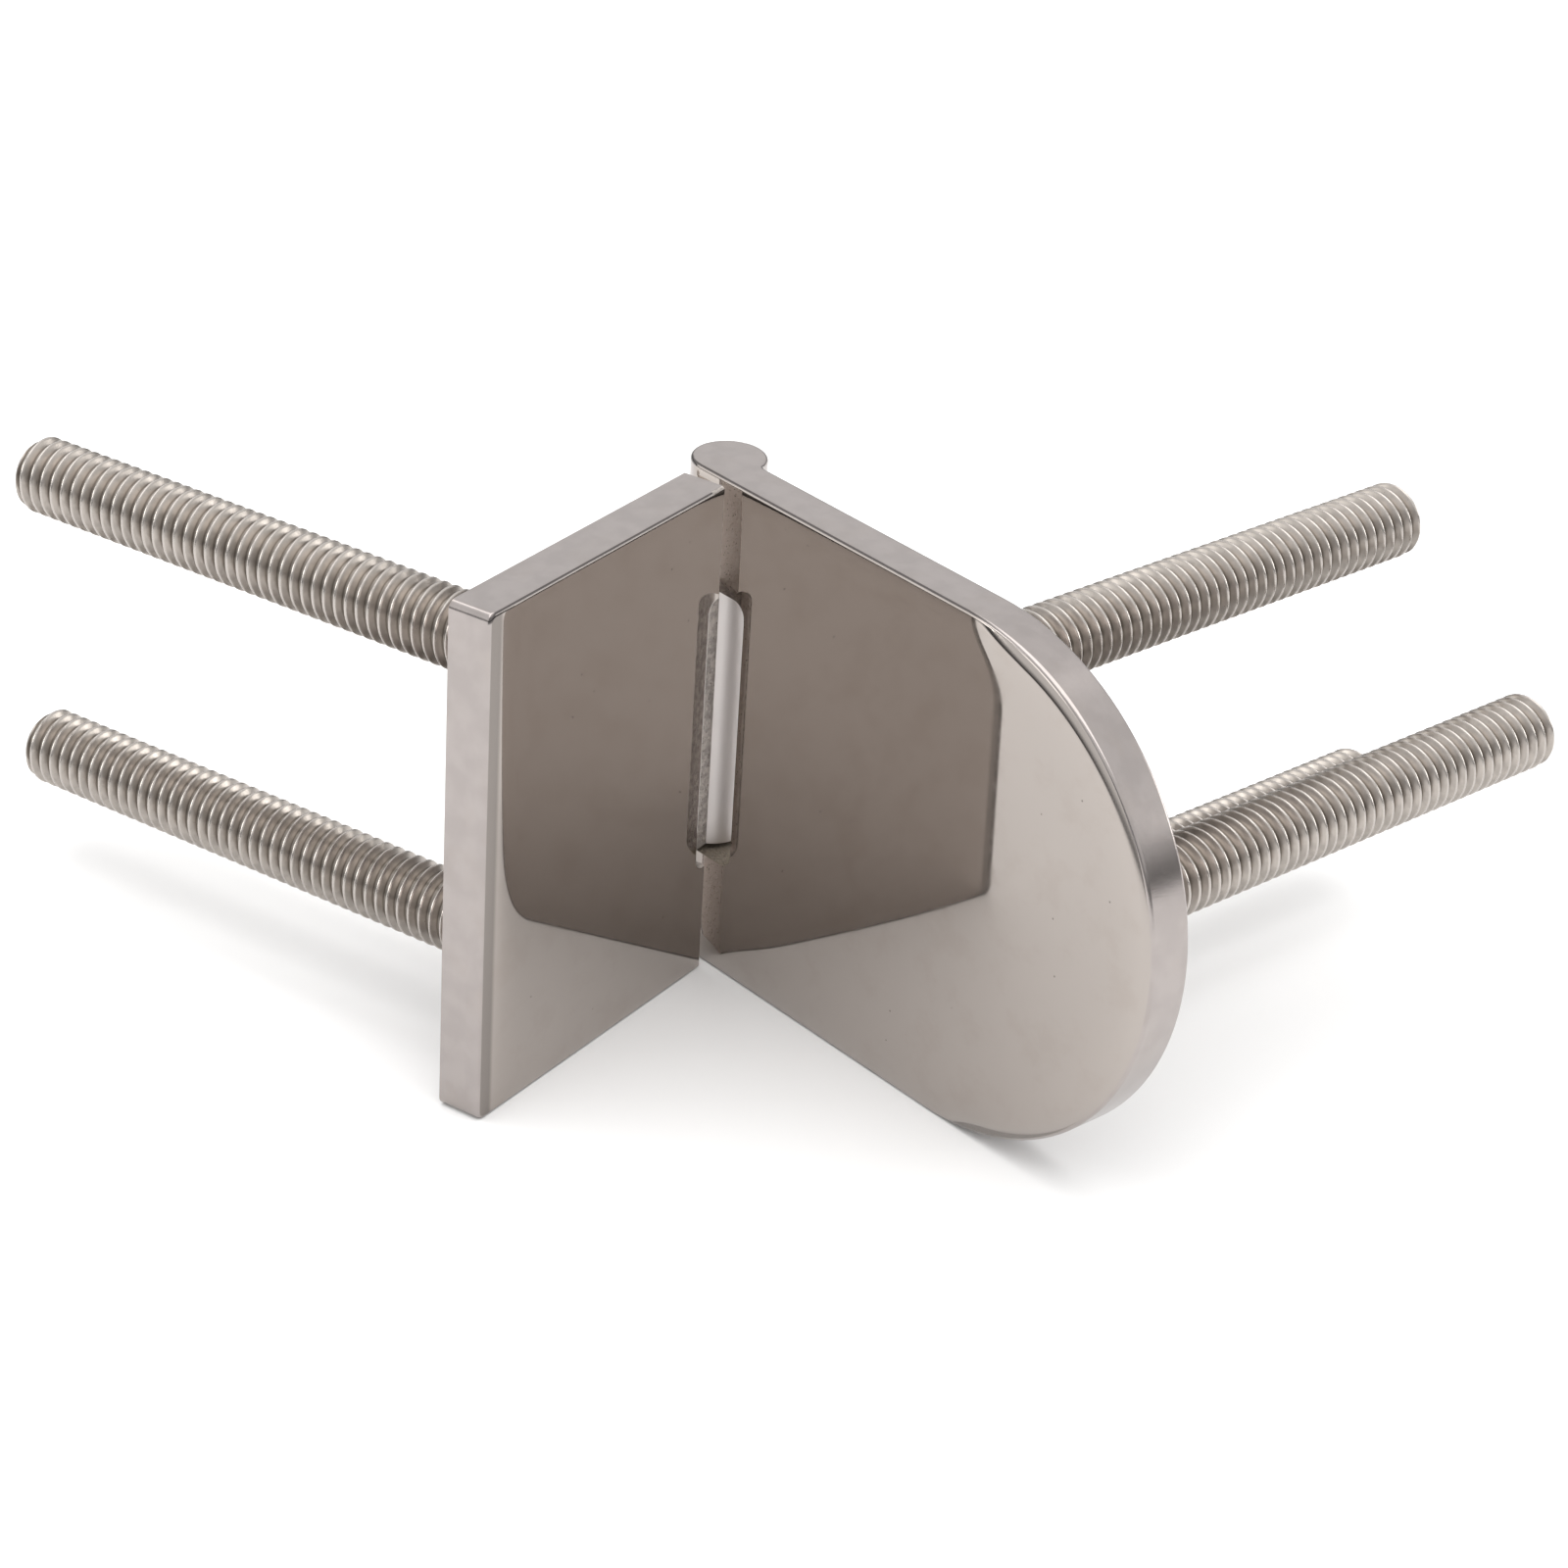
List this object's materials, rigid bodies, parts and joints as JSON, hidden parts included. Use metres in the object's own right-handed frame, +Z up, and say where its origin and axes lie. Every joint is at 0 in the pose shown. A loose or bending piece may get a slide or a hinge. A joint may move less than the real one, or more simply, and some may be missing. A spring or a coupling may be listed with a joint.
{
  "type": "flush hatch hinge with concealed pin and threaded studs",
  "caption": "Polished stainless flush hinge with a square leaf and a round-ended leaf, a concealed pin in the barrel and threaded studs on the backs.",
  "frame": {"origin": "foot of the hinge axis, in the flat lower end of the barrel", "axes": "+Z up along the hinge axis; +Y out of the back of the round leaf, along its studs; +X from the hinge to the round end"},
  "size_m": [0.0897, 0.0835, 0.04],
  "materials": {
    "polished_steel": "mirror-polished cast stainless steel, satin on the rim",
    "stud_steel": "rolled thread in bright stainless steel",
    "pin_steel": "smooth drawn stainless steel"
  },
  "bodies": {
    "round_side": {"round_leaf": "polished_steel", "hinge_pin": "pin_steel", "round_leaf_upper_stud": "stud_steel", "round_leaf_lower_stud": "stud_steel", "round_leaf_tip_stud": "stud_steel"},
    "square_side": {"square_leaf": "polished_steel", "square_leaf_upper_stud": "stud_steel", "square_leaf_lower_stud": "stud_steel"}
  },
  "joints": [
    {"name": "leaf_hinge", "type": "hinge", "parent": "round_side", "child": "square_side", "pos_m": [0, 0, 0.02], "axis": [0, 0, 1], "range_deg": [-105, 12]}
  ]
}
